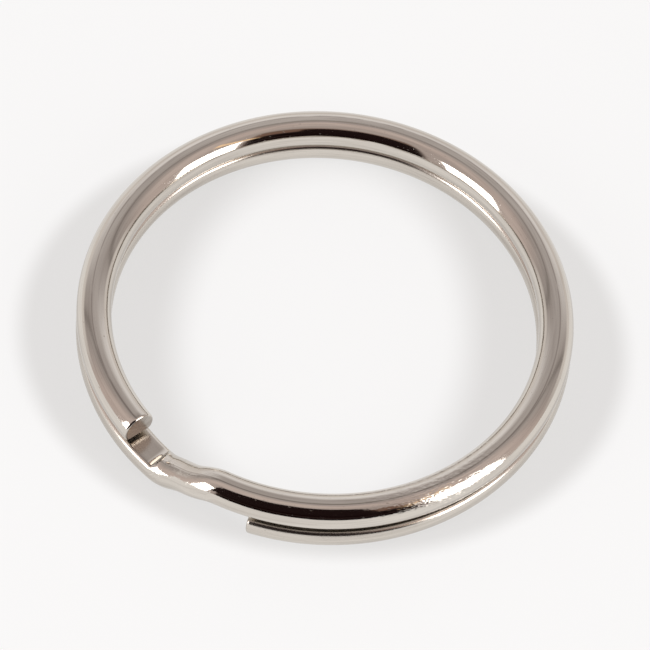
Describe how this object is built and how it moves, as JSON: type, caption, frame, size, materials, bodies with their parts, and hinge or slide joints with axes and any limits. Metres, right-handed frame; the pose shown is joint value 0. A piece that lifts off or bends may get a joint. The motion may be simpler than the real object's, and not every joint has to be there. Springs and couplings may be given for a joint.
{
  "type": "split key ring",
  "caption": "Split key ring of pressed round wire: two flat-mated turns joined by a joggle, with rounded cut ends, for holding keys and tags.",
  "frame": {"origin": "centre of the ring's bounding box, at the surface that the lower turn rests on", "axes": "+Z along the ring's axis, from the lower turn to the upper turn; -Y towards the side where the turns stand furthest apart"},
  "size_m": [0.03, 0.03, 0.0039],
  "materials": {
    "nickel_plate": "polished nickel plate on spring steel, with faint drawing lines and handling marks"
  },
  "bodies": {
    "root": {"split_ring": "nickel_plate"}
  },
  "joints": []
}
